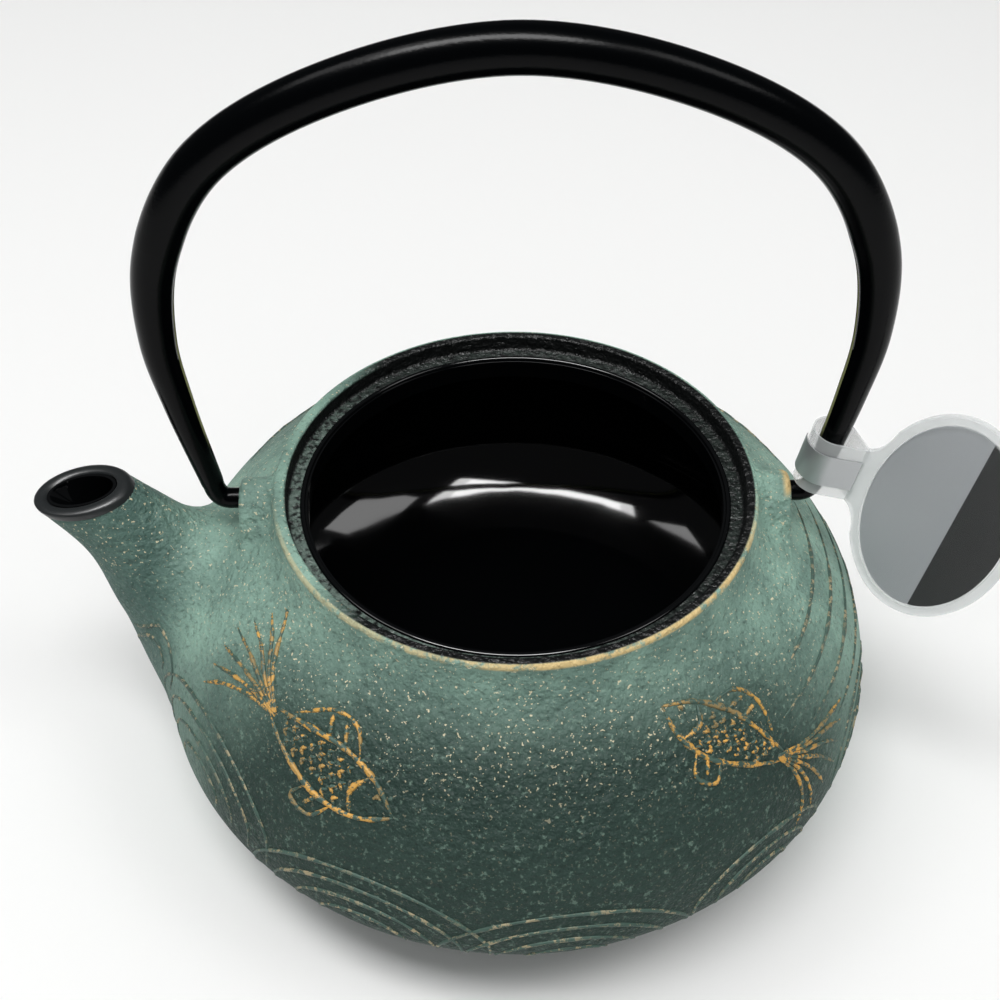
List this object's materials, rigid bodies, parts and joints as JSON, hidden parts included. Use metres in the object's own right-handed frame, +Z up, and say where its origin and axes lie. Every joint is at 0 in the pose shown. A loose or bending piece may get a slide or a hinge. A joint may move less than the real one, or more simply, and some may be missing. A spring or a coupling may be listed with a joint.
{
  "type": "cast iron teapot",
  "caption": "Low round cast iron teapot with a short raised spout, an open lid seat, enamelled inside, a steel bail handle that folds down, and a plastic hang tag.",
  "frame": {"origin": "centre of the flat base, on the surface the pot stands on", "axes": "+Z up, -X towards the spout, +X towards the tagged handle leg; the handle stands in the XZ plane"},
  "size_m": [0.1794, 0.144, 0.1592],
  "materials": {
    "cast_iron_patina": "matte",
    "black_enamel": "gloss",
    "black_handle_paint": "satin",
    "clear_film": "gloss",
    "silver_foil": "satin",
    "printed_card": "satin"
  },
  "bodies": {
    "pot": {"pot_body": "cast_iron_patina", "enamel_lining": "black_enamel"},
    "bail": {"bail_handle": "black_handle_paint"},
    "tag": {"tag_strap": "clear_film", "tag_band": "silver_foil", "tag_film_front": "clear_film", "tag_card": "printed_card", "tag_film_back": "clear_film"}
  },
  "joints": [
    {"name": "bail_swing", "type": "hinge", "parent": "pot", "child": "bail", "pos_m": [0, 0, 0.0662], "axis": [1, 0, 0], "range_deg": [-115, 115]},
    {"name": "tag_swing", "type": "hinge", "parent": "bail", "child": "tag", "pos_m": [0.0581, 0, 0.075], "axis": [0.1517, 0, 0.9884], "range_deg": [-5, 85]}
  ]
}
